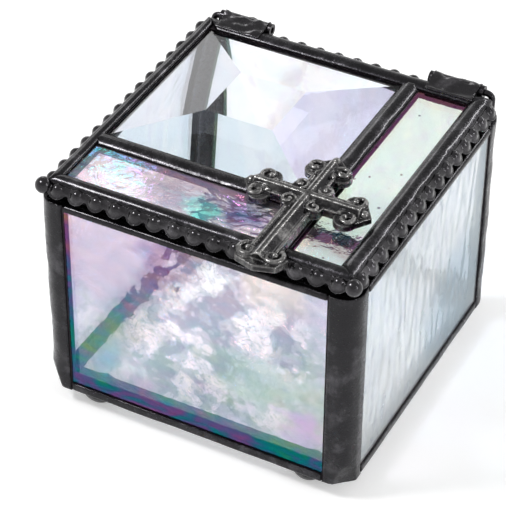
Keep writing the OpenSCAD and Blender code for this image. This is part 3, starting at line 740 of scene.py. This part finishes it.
plate, tree, shader, output = new_material("clear_plate")
place = put(tree, "TexCoord").outputs["Object"]
slow = put(tree, "TexNoise", {"Vector": place, "Scale": 30, "Detail": 2})
tone = blend_colours(tree, slow.outputs[0], (0.97, 0.985, 0.99, 1), (1.0, 0.995, 1.0, 1))
leans = put(tree, "SeparateXYZ", {0: put(tree, "NewGeometry").outputs["Normal"]}).outputs
for axis, sign, tint in (
    (X, 1, (0.52, 0.51, 0.70, 1)), (X, -1, (0.40, 0.42, 0.48, 1)), (Y, -1, (0.58, 0.71, 0.78, 1)),
):
    lean = scaled(tree, maths(tree, "MULTIPLY", leans[axis], sign), 0.06, 0.10)
    tone = blend_colours(tree, lean, tone, tint)
tree.links.new(tone, shader.inputs["Base Color"])
shader.inputs["Transmission Weight"].default_value = 1.0
shader.inputs["Roughness"].default_value = 0.0
shader.inputs["IOR"].default_value = PLATE_INDEX
faint = put(tree, "TexNoise", {"Vector": place, "Scale": 160, "Detail": 2})
bump = put(tree, "Bump", {"Height": faint.outputs[0], "Strength": 0.04, "Distance": 0.05 * MM})
tree.links.new(bump.outputs[0], shader.inputs["Normal"])
let_lamps_through(tree, shader, tone, output)
paint("lid_bevel", plate)
print("bevelled pane faces:", len(nodes["lid_bevel"].data.polygons))

# %% [markdown]
# ## Table and studio
# The box stands on a white table in an even white room. Lamps light the table to a pale grey,
# and a faint glow that shows to the eye, straight or through glass, and weakly in mirrored
# light, lifts it to white and leaves the soft shadow.

# %% Table
GLOW_SEEN = 0.38
GLOW_MIRRORED = 0.10

bpy.ops.mesh.primitive_grid_add(x_subdivisions=2, y_subdivisions=2, size=6.0, location=(0, 0, 0))
table = bpy.context.object
table.name = "table"
white, tree, shader, output = new_material("white_table")
shader.inputs["Base Color"].default_value = (0.80, 0.80, 0.80, 1)
shader.inputs["Roughness"].default_value = 0.9
shader.inputs["Specular IOR Level"].default_value = 0.0
path = put(tree, "LightPath")
direct = maths(tree, "MULTIPLY", path.outputs["Is Camera Ray"], GLOW_SEEN)
through = maths(tree, "MULTIPLY", path.outputs["Is Transmission Ray"], GLOW_SEEN)
mirrored = maths(tree, "MULTIPLY", path.outputs["Is Glossy Ray"], GLOW_MIRRORED)
strength = maths(tree, "MAXIMUM", maths(tree, "MAXIMUM", direct, through), mirrored)
glow = put(tree, "Emission", {"Color": (1, 1, 1, 1), "Strength": strength})
both = put(tree, "AddShader", {0: shader.outputs[0], 1: glow.outputs[0]})
tree.links.new(both.outputs[0], output.inputs["Surface"])
table.data.materials.append(white)

# %% [markdown]
# ## Room
# The room is an even white that gets darker overhead. What looks up in the box, such as the lid
# glass and the tops of the seams, mirrors that darker part. The eye itself sees plain white.

# %% Room
LEVEL_LOW = 0.80
LEVEL_OVERHEAD = 0.42

room = bpy.data.worlds.new("room")
room.use_nodes = True
scene.world = room
tree = room.node_tree
tree.nodes.clear()
way = put(tree, "TexCoord").outputs["Generated"]
rise = put(tree, "SeparateXYZ", {0: way}).outputs[Z]
level = scaled(tree, rise, 0.15, 0.62, LEVEL_LOW, LEVEL_OVERHEAD)
backdrop = put(tree, "Background", {"Color": (1, 1, 1, 1), "Strength": level})
plain = put(tree, "Background", {"Color": (1, 1, 1, 1), "Strength": 1.0})
eye_ray = put(tree, "LightPath").outputs["Is Camera Ray"]
either = put(tree, "MixShader", {0: eye_ray, 1: backdrop.outputs[0], 2: plain.outputs[0]})
end = tree.nodes.new("ShaderNodeOutputWorld")
tree.links.new(either.outputs[0], end.inputs["Surface"])

# %% [markdown]
# ## Lamps
# A key lamp from the upper left gives the soft shadow. Two narrow ones draw crisp lines along
# the metal, one lies where the left bevel mirrors it, and two tiny ones shimmer in the front
# strip. Places and sizes are in metres, power in watts.


# %% Lamps
def softbox(name, place, power, width, height):
    """A soft lamp that faces the box."""
    lamp = bpy.data.lights.new(name, "AREA")
    lamp.shape = "RECTANGLE"
    lamp.size = width
    lamp.size_y = height
    lamp.energy = power
    holder = bpy.data.objects.new(name, lamp)
    scene.collection.objects.link(holder)
    holder.location = place
    aim = Vector(MIDDLE) - Vector(place)
    holder.rotation_euler = aim.to_track_quat("-Z", "Y").to_euler()
    print("lamp", name, "of", power, "W,", round(aim.length, 2), "m away")


softbox("key", (-0.55, -0.35, 0.95), power=6.0, width=0.24, height=0.24)
softbox("side", (0.9, -0.1, 0.55), power=2.2, width=0.04, height=0.6)
softbox("back", (0.45, 0.95, 0.75), power=2.2, width=0.7, height=0.05)
softbox("bevel", (-0.72, 0.90, 0.64), power=0.6, width=0.3, height=0.3)
softbox("glint_left", (-0.43, 0.64, 0.64), power=0.005, width=0.03, height=0.015)
softbox("glint_right", (-0.34, 0.66, 0.62), power=0.012, width=0.03, height=0.015)
